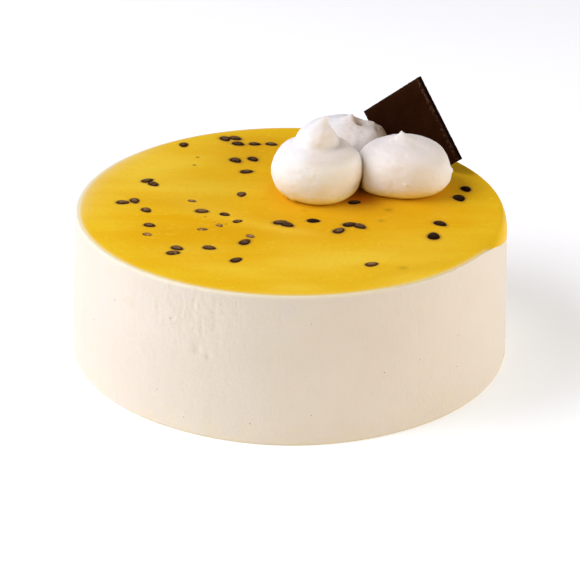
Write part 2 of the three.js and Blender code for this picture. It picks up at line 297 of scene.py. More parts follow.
mousse_sizes = {
    "Foot radius": FOOT_RADIUS, "Shoulder radius": SHOULDER_RADIUS, "Height": TOP, "Bed depth": BED_DEPTH,
    "Rim drop": RIM_DROP, "Rim round": RIM_ROUND, "Jelly radius": JELLY_RADIUS, "Marks": SIDE_MARKS,
    "Columns": MOUSSE_COLUMNS, "Rows": MOUSSE_ROWS,
}
tree, start, size = new_tree("poured_mousse", mousse_sizes)
sheet = node(tree, "GeometryNodeMeshGrid", {
    "Size X": 1.0, "Size Y": 1.0, "Vertices X": size["Columns"], "Vertices Y": size["Rows"],
})
across_sheet, up_sheet, _ = axes(tree, "GeometryNodeInputPosition")
around = across_sheet * math.tau
along = up_sheet + 0.5
azimuth = around / DEGREE

sag = 0
past_meeting = azimuth.step(SAGS_MEET - 0.1, SAGS_MEET + 0.1)
for sag_start, sag_end, depth in RIM_SAGS:
    # the last one runs the other way round the cake
    if sag_end < SAGS_MEET:
        share = azimuth.step(sag_start, sag_end, soft=True) * (1 - past_meeting)
    else:
        share = (1 - azimuth.step(sag_end, sag_start, soft=True)) * past_meeting
    sag = share * depth + sag
rim_height = size["Height"] - size["Rim drop"] - sag

under = along.step(0.0, UNDER_ENDS)
wall = along.step(UNDER_ENDS, SIDE_ENDS)
turn = along.step(SIDE_ENDS, ROUND_ENDS) * (math.pi / 2)
flat = along.step(ROUND_ENDS, NEAR_RIM_END) * NEAR_RIM
flat = flat + along.step(NEAR_RIM_END, RIM_ENDS) * (1 - NEAR_RIM)
slope = along.step(RIM_ENDS, SLOPE_ENDS)
bed = along.step(SLOPE_ENDS, 1.0)

jelly_edge = size["Jelly radius"] + around.cosine() * JELLY_SHIFT
shoulder_width = size["Shoulder radius"] + around.cosine() * SHOULDER_SHIFT - jelly_edge
rim_round = (shoulder_width * ROUND_SHARE).least(size["Rim round"]).most(0.1 * MM)
height = (rim_height - rim_round) * wall + rim_round * turn.sine()
rise = height / size["Height"]
oval = (around * 2 - 2 * FOOT_OVAL_AZIMUTH * DEGREE).cosine() * FOOT_OVAL
foot = size["Foot radius"] + oval
wave = (around * 3 + 1 + rise * 2).sine() * SIDE_WAVE + (around * 7 - rise * 3).sine() * SIDE_RIPPLE
outer = foot + (size["Shoulder radius"] - foot) * rise + wave * (1 - rise * rise)
foot_inset = (1 - (height / FOOT_ROUND).least(1.0)) * FOOT_ROUND
outer = outer - foot_inset - rim_round * (1 - turn.cosine())
shift = FOOT_SHIFT + rise * (SHOULDER_SHIFT - FOOT_SHIFT)
centre = shift * (1 - flat)

bed_height = size["Height"] - size["Bed depth"]
steepness = ((rim_height - bed_height) / JELLY_BEVEL).least(1.0).most(-1.0)
bed_edge = jelly_edge - JELLY_BEVEL + steepness * 0.3 * MM
radius = outer * under * (1 - flat) + jelly_edge * flat
radius = (radius + (bed_edge - jelly_edge) * slope) * (1 - bed)
level = height + (bed_height - rim_height) * slope

# The side keeps the marks of its ring: faint upright ripples that come and go, fine bubbles near
# the top, and a few dents.
marks = []
for scale, upright_stretch, strength in MARK_NOISES:
    spot = vector(tree, around * FOOT_RADIUS, level * upright_stretch, 0.0)
    marks.append((cloud(tree, spot, scale) - 0.5) * strength)
patchy = cloud(tree, vector(tree, around, level / FOOT_RADIUS, 3.0), MARK_PATCHES)
rough_here = patchy.step(0.35, 0.62) * 0.8 + 0.2
from_bubbles = (azimuth - BUBBLES_AZIMUTH) / BUBBLES_WIDTH
up_from_bubbles = (level - BUBBLES_HEIGHT) / BUBBLES_RISE
bubbly = ((from_bubbles * from_bubbles + up_from_bubbles * up_from_bubbles) * -1).maths("EXPONENT")
rough_here = rough_here + bubbly * BUBBLES_STRENGTH
on_wall = along.step(MARKS_START, MARKS_FULL) * (1 - along.step(MARKS_FADE, SIDE_ENDS))
radius = radius + (marks[0] + (marks[1] + marks[2]) * rough_here) * size["Marks"] * on_wall
for dent_azimuth, dent_height, dent_width, dent_depth in DENTS:
    across = (around - dent_azimuth * DEGREE) * (FOOT_RADIUS / (dent_width * MM))
    upward = (level - dent_height * MM) / (DENT_TALLNESS * dent_width * MM)
    away = (across * across + upward * upward) * -1
    radius = radius - away.maths("EXPONENT") * (dent_depth * MM)

moved = node(tree, "GeometryNodeSetPosition", {
    "Geometry": sheet.outputs["Mesh"],
    "Position": vector(tree, radius * around.cosine() + centre, radius * around.sine(), level),
})
closed = node(tree, "GeometryNodeMergeByDistance", {
    "Geometry": moved.outputs[0], "Distance": WELD_DISTANCE,
})
end_tree(tree, closed.outputs[0], mousse_look)

mousse = grow("mousse", tree, mousse_sizes)
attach(mousse, "root")
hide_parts("mousse_body")


# The specks
#
# Fine brown specks of crushed pip and vanilla that lie in the mousse, a few of them at its surface.

SPECK_LENGTH = 0.62 * MM
SPECKS_FOR_EACH_M2 = 900
SPECKS_FROM, SPECKS_TO = 3 * MM, 62 * MM  # heights
SPECK_SEED = 5
SPECK_SIZE_SEED = 3
SMALLEST_SPECK, LARGEST_SPECK = 0.45, 1.1  # times their length
SPECK_WIDTH, SPECK_THICKNESS = 0.75, 0.3  # for each 1 of length

DARK_SPECK = (0.22, 0.13, 0.05)
PALE_SPECK = (0.48, 0.36, 0.20)

speck_look, tree, shader = new_material("brown speck", 0.7, Specular_IOR_Level=0.2)
paint(tree, shader, DARK_SPECK, [(noise(tree, 40, 1).step(0.35, 0.65), PALE_SPECK)])

speck_sizes = {
    "Length": SPECK_LENGTH, "Density": SPECKS_FOR_EACH_M2, "Seed": SPECK_SEED,
    "Lowest": SPECKS_FROM, "Highest": SPECKS_TO,
}
tree, start, size = new_tree("specks_on_the_side", speck_sizes)
level = axes(tree, "GeometryNodeInputPosition")[2]
facing_up = axes(tree, "GeometryNodeInputNormal")[2]
upright = 1 - facing_up.maths("ABSOLUTE").maths("GREATER_THAN", 0.3)
above = level.maths("GREATER_THAN", size["Lowest"])
below = level.maths("LESS_THAN", size["Highest"])
scattered = node(tree, "GeometryNodeDistributePointsOnFaces", {
    "Mesh": start.outputs["Geometry"], "Selection": upright * above * below,
    "Density": size["Density"], "Seed": size["Seed"],
})
ball = node(tree, "GeometryNodeMeshIcoSphere", {"Radius": size["Length"] / 2, "Subdivisions": 2})
uneven = node(tree, "FunctionNodeRandomValue", {
    "Min": SMALLEST_SPECK, "Max": LARGEST_SPECK, "Seed": SPECK_SIZE_SEED,
}, data_type="FLOAT")
share = Field(tree, uneven.outputs[1])
strewn = node(tree, "GeometryNodeInstanceOnPoints", {
    "Points": scattered.outputs["Points"], "Instance": ball.outputs["Mesh"],
    "Rotation": scattered.outputs["Rotation"],
    "Scale": vector(tree, share, share * SPECK_WIDTH, share * SPECK_THICKNESS),
})
end_tree(tree, strewn.outputs[0], speck_look)

specks = grow("specks", tree, speck_sizes, mousse.data)
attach(specks, "root")
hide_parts("mousse_body")


# The pips
#
# Dark oval pips, wet and pitted, that set where they settled as the fruit pulp was poured: in
# short strings and pairs, some bare at the surface, some under a milky film of jelly.

PIP_LENGTH = 6.3 * MM
PIP_WIDTH = 4.4 * MM
PIP_DEPTH = 2.2 * MM
PIP_SUNK = 0.25 * MM
PIP_MILKY = 0.55  # a pip with milkier jelly over it lies deeper, by PIP_DEEPER for each 1
PIP_DEEPER = 1.0 * MM
PIP_TAPER = 0.22
PIP_STRAY = 12  # most that a pip lies off its string's heading, degrees
PIP_SEED = 11
# Strings of pips: place of the first in mm, its heading, how milky the jelly over each of them is, from
# 0 to 1, their sizes, how far each is turned from the one before, and the step between them in mm and
# its azimuth
PIP_STRINGS = [
    (-51.4, 69.8, -72, [0.3]),
    (-31.8, 78.2, -64, [0.3, 0.35], (1.15, 1.15), 34, 5, 10),
    (-25.2, 71.7, -22, [0.2, 0.35, 0.4], (1.12, 1.0, 1.0), 0, 8, 0),
    (-25.8, 50, -57, [0.25, 0.2], (1.18, 1.08), 0, 8.3, 12),
    (-20.3, 36, 7, [0.35], (1.05,)),
    (-21.9, 8.7, -86, [0.5], (0.94,)),
    (-65.5, 24.2, 37, [0.4, 0.35], (1,), -92, 5.1, -53),
    (-74.5, -1.5, 3, [0.45, 0.5], (1,), -72, 5.4, 20),
    (-63.4, -10, -61, [0.5], (0.96,)),
    (-60.7, -26.4, -38, [0.4, 0.85], (0.93, 0.9), 13, 9.7, -91),
    (-47.3, -50.2, -28, [0.5, 0.55], (0.97, 0.97), 40, 5, -106),
    (-33.8, -49.6, -28, [0.45], (0.97,)),
    (-22.1, -61.7, 42, [0.35], (0.97,)),
    (-43.7, 0.9, -24, [0.85, 0.55], (0.85, 1.02), 13, 12.6, -67),
    (-28.6, -14, -21, [0.35, 0.5], (0.84, 0.78), 50, 9.5, -52),
    (-30.5, -25.9, -67, [0.9, 0.85], (0.85, 0.9), 72, 8.4, -149),
    (-16.8, -37.2, -36, [0.88, 0.3], (0.95, 1.05), 94, 6.7, -109),
    (-4.2, -22.5, 14, [0.4, 0.2], (1.05, 1.1), -40, 3.9, -38),
    (10.3, -20.5, -6, [0.05]),
    (21.2, -30.9, 46, [0.45], (1.08,)),
    (26.1, -24.4, 12, [0.2, 0.3], (1.1, 1.08), -50, 4.6, -22),
    (28.8, 0.4, 10, [0.1]),
    (34, -64.9, 11, [0.55], (0.95,)),
    (65.4, -22.6, -42, [0.1, 0.05], (1.1, 1.26), 119, 14, -106),
    (80, 16.7, -68, [0, 0.05], (1.1, 1.24), -16, 11.5, -110),
]

BARE_PIP = (0.006, 0.002, 0.001)
WORN_PIP = (0.02, 0.008, 0.003)
FILMED_PIP = (0.34, 0.185, 0.085)
JELLY_FLECK = (0.62, 0.34, 0.06)


def pip_draws(seed):
    """A repeatable run of numbers from 0 to 1."""
    state = seed
    while True:
        state = (state * 16807) % 2147483647
        yield state / 2147483647


draw = pip_draws(PIP_SEED)
pip_places, pip_headings, pip_scales, pip_veils = [], [], [], []


def lay_string(x, y, heading, veil, size=(1,), turned=0, step=0, azimuth=0):
    """The pips of one string, whose strays from their heading are drawn in the order they are laid."""
    for i, milky in enumerate(veil):
        stray = (next(draw) - 0.5) * 2 * PIP_STRAY
        pip_headings.append((heading + i * turned + stray) * DEGREE)
        pip_scales.append(size[i % len(size)])
        pip_veils.append(milky)
        pip_places.append((
            (x + i * step * math.cos(azimuth * DEGREE)) * MM,
            (y + i * step * math.sin(azimuth * DEGREE)) * MM,
            TOP - PIP_SUNK - PIP_DEEPER * max(0, milky - PIP_MILKY),
        ))


for string in PIP_STRINGS:
    lay_string(*string)

pip_spots = bpy.data.meshes.new("pip_spots")
pip_spots.from_pydata(pip_places, [], [])


def store(mesh, name, values, kind="FLOAT", place="value"):
    """One number or vector for each point of a mesh, which its material or tree reads by name."""
    mesh.attributes.new(name, kind, "POINT").data.foreach_set(place, np.ravel(values).astype(np.float32))


store(pip_spots, "heading", pip_headings)
store(pip_spots, "size", pip_scales)
store(pip_spots, "veil", pip_veils)


def attribute(tree, name):
    """A stored number, read in a material."""
    return Field(tree, node(tree, "ShaderNodeAttribute", attribute_name=name).outputs["Fac"])


pip_look, tree, shader = new_material("wet dark pip", 0.3, Specular_IOR_Level=0.02)
pitted = noise(tree, 1400, 2)
# the jelly lies thickest over the middle of a pip and leaves its edge dark, which also stands in as
# painted shade on the pip's sloping sides
from_rim = 1 - attribute(tree, "rim").step(0.4, 0.92, soft=True)
patchy = noise(tree, 780, 2, place=(0.4, 0.1, 0)).step(0.34, 0.60)
film = (attribute(tree, "veil") * 1.6).least(1.0) * (0.08 + from_rim * (0.22 + patchy * 0.72))
flecks = noise(tree, 900, 1, place=(0.1, 0.2, 0.3))
flecked = (flecks - 1 + attribute(tree, "veil") * 0.55).step(0.0, 0.08) * 0.8
paint(tree, shader, BARE_PIP, [
    (pitted.step(0.35, 0.65), WORN_PIP), (film, FILMED_PIP), (flecked, JELLY_FLECK),
])
relief(tree, shader, pitted, 0.5, 0.2 * MM)


def flat_ball(tree, size):
    """A ball of width 1, its long, narrowed and upright axes, and how far a point of it is from the
    upright one, 1 at the rim."""
    ball = node(tree, "GeometryNodeMeshUVSphere", {
        "Segments": size["Segments"], "Rings": size["Rings"], "Radius": 0.5,
    })
    long_way, cross_way, up_way = axes(tree, "GeometryNodeInputPosition")
    off_middle = (long_way * long_way + cross_way * cross_way).maths("SQRT") * 2
    narrowed = cross_way * (1 - long_way * 2 * size["Taper"])
    return ball.outputs["Mesh"], long_way, narrowed, up_way, off_middle


def named(tree, name):
    """A stored number, read in a geometry node tree."""
    found = node(tree, "GeometryNodeInputNamedAttribute", {"Name": name}, data_type="FLOAT")
    return Field(tree, found.outputs[0])


def lay_on_spots(tree, start, ball, mark, amount, form, look):
    """The ball with a mark on its points, pressed into its form and laid at each pip's place with the
    pip's heading and size, and the end of the tree."""
    marked = node(tree, "GeometryNodeStoreNamedAttribute", {
        "Geometry": ball, "Name": mark, "Value": amount,
    }, data_type="FLOAT", domain="POINT")
    formed = node(tree, "GeometryNodeSetPosition", {"Geometry": marked.outputs[0], "Position": form})
    spots = node(tree, "GeometryNodeMeshToPoints", {"Mesh": start.outputs["Geometry"]})
    turned_way = node(tree, "FunctionNodeEulerToRotation", {
        "Euler": vector(tree, 0.0, 0.0, named(tree, "heading")),
    })
    scale = named(tree, "size")
    laid = node(tree, "GeometryNodeInstanceOnPoints", {
        "Points": spots.outputs[0], "Instance": formed.outputs[0], "Rotation": turned_way.outputs[0],
        "Scale": vector(tree, scale, scale, scale),
    })
    end_tree(tree, laid.outputs[0], look)


pip_sizes = {
    "Length": PIP_LENGTH, "Width": PIP_WIDTH, "Depth": PIP_DEPTH, "Taper": PIP_TAPER,
    "Segments": 24, "Rings": 14,
}
tree, start, size = new_tree("pips_on_strings", pip_sizes)
ball, long_way, narrowed, up_way, off_middle = flat_ball(tree, size)
oval = vector(tree, long_way * size["Length"], narrowed * size["Width"], up_way * size["Depth"])
lay_on_spots(tree, start, ball, "rim", off_middle, oval, pip_look)

pips = grow("pips", tree, pip_sizes, pip_spots)
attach(pips, "root")
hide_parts("passion_fruit_jelly")


# The jelly
#
# Passion fruit jelly, poured level onto the set mousse: deep gold with paler swirls, thin and
# peach-pale along the left edge, where the paleness is partly a painted reflection of the light, and
# run down over the sagged rim at the right.

JELLY_EDGE = 1.2 * MM  # how far in its surface starts to turn down
JELLY_TUCK = 0.04 * MM
LONG_SLOPE_ENDS, SHORT_DROP_FROM = -30, -12  # azimuths of how it runs down at its low edge
FRINGE_AZIMUTH = 162  # middle of the wide pale fringe
FRINGE_WIDTH = 3 * MM
PALE_LINE = 0.9 * MM
NEAR_EDGE = 9 * MM
KISS_SHADE = 6 * MM  # how far from a kiss the jelly is shaded
RUN_DOWN = 5 * MM  # from this far down it has its colour of thick jelly
JELLY_COLUMNS = 480
JELLY_RINGS = 96
EDGE_RINGS = 16
SPILL_SAG = 2 * MM  # where the rim is this low, the jelly comes out as far as the cake's side
# Where it is paler, milky with pulp: middle, half length and half width in mm, heading, and how pale
PALE_POOLS = [
    (-55, 16, 22, 11, -10, 0.35), (-66, 34, 18, 10, 50, 0.3), (-36, -8, 26, 8, -30, 0.3),
    (-8, -27, 24, 4, -22, 0.45), (12, -62, 26, 9, 8, 0.38), (2, -88, 14, 5, 0, 0.6),
    (38, -54, 24, 8, 30, 0.42), (-42, -52, 16, 6, 0, 0.25), (86, -20, 8, 34, 8, 0.08),
    (-26, 20, 26, 15, 0, 0.35), (-26, -70, 22, 6, -20, 0.4), (44, -84, 20, 7, 30, 0.4),
    (-62, 50, 44, 22, 48, 0.6), (-80, 0, 10, 30, 0, 0.3), (62, -52, 26, 10, 48, 0.35),
]
# Where it is deeper and darker, in the same way
DEEP_POOLS = [
    (22, -14, 40, 20, 0, 0.7), (-26, 58, 18, 18, 0, 0.6), (-15, -20, 30, 12, 0, 0.35),
    (54, -6, 26, 14, 0, 0.6), (56, -66, 34, 4, 30, 0.4), (-60, -34, 12, 14, 0, 0.3),
    (-20, 76, 22, 12, 0, 0.6), (76, 18, 12, 8, 0, 0.4), (-34, -42, 28, 18, 10, 0.5),
    (20, -33, 16, 9, 0, 0.4), (-42, -2, 16, 8, -10, 0.35), (-60, 0, 16, 7, 0, 0.3),
]
# The meringue kisses, which shade the jelly round them: middle and radius in mm
KISS_PLACES = {
    "meringue_front_left": (11.7, 12.4, 20.2),
    "meringue_front_right": (52.4, 19.8, 20.8),
    "meringue_back": (24.6, 53.7, 21.9),
}
# Pips too deep to stand out: place and width in mm, and how dark
DEEP_PIPS = [
    (43.6, -7.6, 3.4, 0.35), (39.8, -19.8, 3.2, 0.3), (46.7, -68, 4, 0.25), (-44, 54, 1.5, 0.95),
    (-45, 44, 1.6, 0.95), (-37, -16.5, 1.2, 0.5), (-27.5, -24.5, 1.2, 0.5), (-33, -22, 1.0, 0.5),
    (6.6, -9, 3, 0.2), (-12, 4, 2.4, 0.15),
]
# The warm shade between the two front kisses, in the same way
BETWEEN_KISSES = [(32, 4.5, 19, 0.95)]

DEEP_GOLD = (0.905, 0.488, 0.006)
GOLD = (0.945, 0.58, 0.018)
DEEPEST_GOLD = (0.80, 0.39, 0.0035)
EDGE_GOLD = (0.965, 0.65, 0.022)
MILKY_GOLD = (0.995, 0.68, 0.055)
PULP = (0.97, 0.72, 0.05)
AMBER_GRAIN = (0.82, 0.42, 0.004)
RUN_DOWN_GOLD = (0.78, 0.46, 0.010)
SHADED_GOLD = (0.78, 0.42, 0.012)
WARM_SHADE = (0.50, 0.13, 0.006)
PAINTED_PIP_SHADE = (0.42, 0.19, 0.035)
SUNKEN_PIP = (0.12, 0.045, 0.008)
THIN_JELLY_AND_SHEEN = (0.95, 0.83, 0.56)


def soft_step(value):
    """0 up to 0, 1 from 1 on, with soft ends."""
    value = np.clip(value, 0, 1)
    return value * value * (3 - 2 * value)


def rim_sag(azimuth):
    """How far the rim has sagged, azimuth in degrees."""
    sag = np.zeros_like(azimuth)
    for sag_start, sag_end, depth in RIM_SAGS:
        same_side = (azimuth > SAGS_MEET) == (sag_end > SAGS_MEET)
        sag += np.where(same_side, depth * soft_step((azimuth - sag_start) / (sag_end - sag_start)), 0)
    return sag


azimuth = np.linspace(-180, 180, JELLY_COLUMNS, endpoint=False)
turn = azimuth * DEGREE
edge_radius = JELLY_RADIUS + JELLY_SHIFT * np.cos(turn)
lip = TOP - RIM_DROP - rim_sag(azimuth)
slumped = (TOP - lip) * (FOOT_RADIUS - SHOULDER_RADIUS) / TOP
side_radius = SHOULDER_RADIUS + SHOULDER_SHIFT * np.cos(turn) + slumped
run_over = soft_step(rim_sag(azimuth) / SPILL_SAG)
spill = np.maximum(0, side_radius - edge_radius) * run_over
# at the front it runs down in a long slope, further round it drops short at the edge
further_round = (azimuth - LONG_SLOPE_ENDS) / (SHORT_DROP_FROM - LONG_SLOPE_ENDS)
long_slope = run_over * (1 - soft_step(further_round))
edge_width = JELLY_EDGE * (1 + 1.2 * run_over + 4.5 * long_slope)
last_bend = (90 - 50 * long_slope) * DEGREE
flat_radius = edge_radius - edge_width

rows = []
for k in range(1, JELLY_RINGS + 1):
    rows.append((flat_radius * k / JELLY_RINGS, np.full_like(turn, TOP)))
for share in np.linspace(0, 1, EDGE_RINGS + 1)[1:]:
    bend = share * last_bend
    outward = (edge_width + spill) * np.sin(bend) / np.sin(last_bend)
    downward = (TOP - lip) * (1 - np.cos(bend)) / (1 - np.cos(last_bend))
    rows.append((flat_radius + outward, TOP - downward))
# its edge turns in before the underside slopes away
rows.append((flat_radius + edge_width + spill - JELLY_TUCK, lip - JELLY_TUCK))
rows.append((edge_radius - JELLY_BEVEL, np.full_like(turn, TOP - BED_DEPTH)))


def lathe(name, turn, bottom, rings, top):
    """A closed round mesh from pole to pole. Each ring going up its outside is a radius and a height
    for every angle in turn."""
    columns = len(turn)
    points = [np.array([bottom])]
    for ring_radius, ring_height in rings:
        ring = [ring_radius * np.cos(turn), ring_radius * np.sin(turn), ring_height]
        points.append(np.stack(ring, axis=1))
    points.append(np.array([top]))
    points = np.concatenate(points)
    i = np.arange(columns)
    j = (i + 1) % columns
    faces = [(0, 1 + b, 1 + a) for a, b in zip(i, j)]
    for row in range(len(rings) - 1):
        low, high = 1 + row * columns, 1 + (row + 1) * columns
        faces += [(low + a, low + b, high + b, high + a) for a, b in zip(i, j)]
    last = len(points) - 1
    low = 1 + (len(rings) - 1) * columns
    faces += [(low + a, low + b, last) for a, b in zip(i, j)]
    mesh = bpy.data.meshes.new(name)
    mesh.from_pydata(points.tolist(), [], faces)
    mesh.shade_smooth()
    return mesh, points


jelly_mesh, points = lathe("jelly", turn, (0, 0, TOP - BED_DEPTH), rows[::-1], (0, 0, TOP))

# It is thin towards its edge: a narrow pale line, with a wide pale fringe at the left that is partly
# thin jelly and partly a painted reflection of the light
point_azimuth = np.arctan2(points[:, 1], points[:, 0])
point_radius = np.hypot(points[:, 0], points[:, 1])
from_edge = np.maximum(0, JELLY_RADIUS + JELLY_SHIFT * np.cos(point_azimuth) - point_radius)
left = soft_step((np.cos(point_azimuth - FRINGE_AZIMUTH * DEGREE) - 0.8) / 0.2)
rim_stands = 1 - soft_step(rim_sag(point_azimuth / DEGREE) / SPILL_SAG)
pale_line = 0.6 * np.exp(-(from_edge / PALE_LINE) ** 2) * rim_stands
store(jelly_mesh, "thin", pale_line + left * 0.55 * np.exp(-from_edge / FRINGE_WIDTH))
store(jelly_mesh, "near_edge", np.exp(-from_edge / NEAR_EDGE))
by_kisses = np.zeros_like(from_edge)
for kiss_x, kiss_y, kiss_radius in KISS_PLACES.values():
    beyond = np.hypot(points[:, 0] - kiss_x * MM, points[:, 1] - kiss_y * MM) - kiss_radius * MM
    by_kisses = np.maximum(by_kisses, np.exp(-np.maximum(0, beyond) / KISS_SHADE))
store(jelly_mesh, "by_kisses", by_kisses)
run_down = np.clip((TOP - points[:, 2]) / RUN_DOWN, 0, 1)
store(jelly_mesh, "run_down", run_down * (1 - rim_stands))

jelly_look, tree, shader = new_material(
    "golden fruit jelly", 0.35, Specular_IOR_Level=0.02, Subsurface_Weight=0.1, Subsurface_Scale=0.002,
    Subsurface_Radius=(1.0, 0.6, 0.1),
)
here_x, here_y = (along * (1 / MM) for along in axes(tree, "ShaderNodeTexCoord", "Object")[:2])
drift = noise(tree, 26, 3, stretch=(0.6, 1.2, 1)) - 0.5
streak = noise(tree, 55, 3, stretch=(0.28, 1.5, 1)) - 0.5


def pooled(pools):
    """How much of these soft-edged pools is at a place, their outlines drawn out by the swirls."""
    total = 0
    for x, y, long_half, short_half, heading, amount in pools:
        c, s = math.cos(heading * DEGREE), math.sin(heading * DEGREE)
        lengthwise = ((here_x - x) * c + (here_y - y) * s) / long_half
        crosswise = ((here_y - y) * c - (here_x - x) * s) / short_half
        inside = (lengthwise * lengthwise + crosswise * crosswise) * -1 + drift * 2.2 + streak * 1.4
        total = inside.least(0.0).maths("EXPONENT") * amount + total
    return total.least(1.0)


def dotted(spots):
    """How much of these round spots is at a place."""
    total = 0
    for x, y, width, dark in spots:
        away = ((here_x - x) * (here_x - x) + (here_y - y) * (here_y - y)) * (-4 / (width * width))
        total = away.maths("EXPONENT") * dark + total
    return total.least(1.0)


pulp = noise(tree, 560, 2, stretch=(0.6, 1, 1)).step(0.60, 0.72, soft=True)
grain = noise(tree, 760, 2, place=(0.2, 0.6, 0)).step(0.56, 0.70, soft=True)
paint(tree, shader, DEEP_GOLD, [
    ((streak * 2.4 + drift + 0.5).step(0.1, 0.9), GOLD),
    (pooled(DEEP_POOLS), DEEPEST_GOLD),
    (attribute(tree, "near_edge") * 0.5, EDGE_GOLD),
    (pooled(PALE_POOLS), MILKY_GOLD),
    (pulp * 0.4, PULP),
    (grain * 0.3, AMBER_GRAIN),
    (attribute(tree, "run_down") * 0.5, RUN_DOWN_GOLD),
    (attribute(tree, "by_kisses") * 0.9, SHADED_GOLD),
    (dotted(BETWEEN_KISSES), WARM_SHADE),
    # painted shade round each pip
    (attribute(tree, "halo") * 0.75, PAINTED_PIP_SHADE),
    (dotted(DEEP_PIPS), SUNKEN_PIP),
    # pale where the jelly is thin, and at the left also a painted reflection
    (attribute(tree, "thin"), THIN_JELLY_AND_SHEEN),
])
relief(tree, shader, noise(tree, 60, 2, stretch=(0.5, 1, 1)), 0.1, 0.6 * MM)
jelly_mesh.materials.append(jelly_look)

jelly = add("jelly", jelly_mesh)
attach(jelly, "root")
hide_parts("passion_fruit_jelly")


# The jelly round the pips
#
# Where a pip lies at the surface, the jelly has crept up round it as it set: a low lens of the same
# jelly, with painted shade where it meets the pip.

FILM_SPREAD = 1.48  # times the pip's size
FILM_RISE = 0.2 * MM
FILM_UNDER = 0.01 * MM  # how far its rim lies under the surface
PIP_SHADE_FULL, PIP_SHADE_GONE = 0.62, 0.96  # as shares of the way to its rim

film_sizes = {
    "Length": PIP_LENGTH * FILM_SPREAD, "Width": PIP_WIDTH * FILM_SPREAD, "Rise": FILM_RISE,
    "Taper": PIP_TAPER, "Sunk": PIP_SUNK, "Segments": 28, "Rings": 16,
}
tree, start, size = new_tree("film_round_pips", film_sizes)
ball, long_way, narrowed, up_way, off_middle = flat_ball(tree, size)
# painted shade, strongest next to the pip
halo = 1 - off_middle.step(PIP_SHADE_FULL, PIP_SHADE_GONE, soft=True)
slope = 1 - off_middle * off_middle
swelling = slope * slope * up_way.maths("SIGN") * size["Rise"] + size["Sunk"] - FILM_UNDER
lens = vector(tree, long_way * size["Length"], narrowed * size["Width"], swelling)
lay_on_spots(tree, start, ball, "halo", halo, lens, jelly_look)

film = grow("film_round_pips", tree, film_sizes, pip_spots)
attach(film, "root")
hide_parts("passion_fruit_jelly")


# The meringue kisses
#
# Soft meringue, piped from a round nozzle and lifted off to a leaning peak, barely dried: smooth
# and matt, with soft folds, a few bubbles, and flat where two of them touch.

KISS_COLUMNS = 200
KISS_ROWS = 130
KISS_GAP = 0.1 * MM
KISS_UNEVEN, UNEVEN_SCALE = 0.48 * MM, 100  # how uneven it is, and the scale of that noise
KISS_FINE, FINE_SCALE = 0.187 * MM, 420
EVEN_FOOT = 2 * MM  # under this height it gets less uneven, to none at the foot
LEAN_POWER = 0.95
SOFT_DAB = 2  # how sudden a dab is that isn't a bead
FOOT_HEIGHT = 3.5 * MM
NARROWEST_RING = 0.02 * MM
LOBE_TWIST = 8 * MM  # over this height one of its lobes turns by a radian
CHOCOLATE_SHADE_WIDTH = 9 * MM
SHADED_AZIMUTH = -20  # the side away from the main light, which gets more painted shade
SHADE_FADE = 8 * MM
SHADE_RISE = 4  # mm
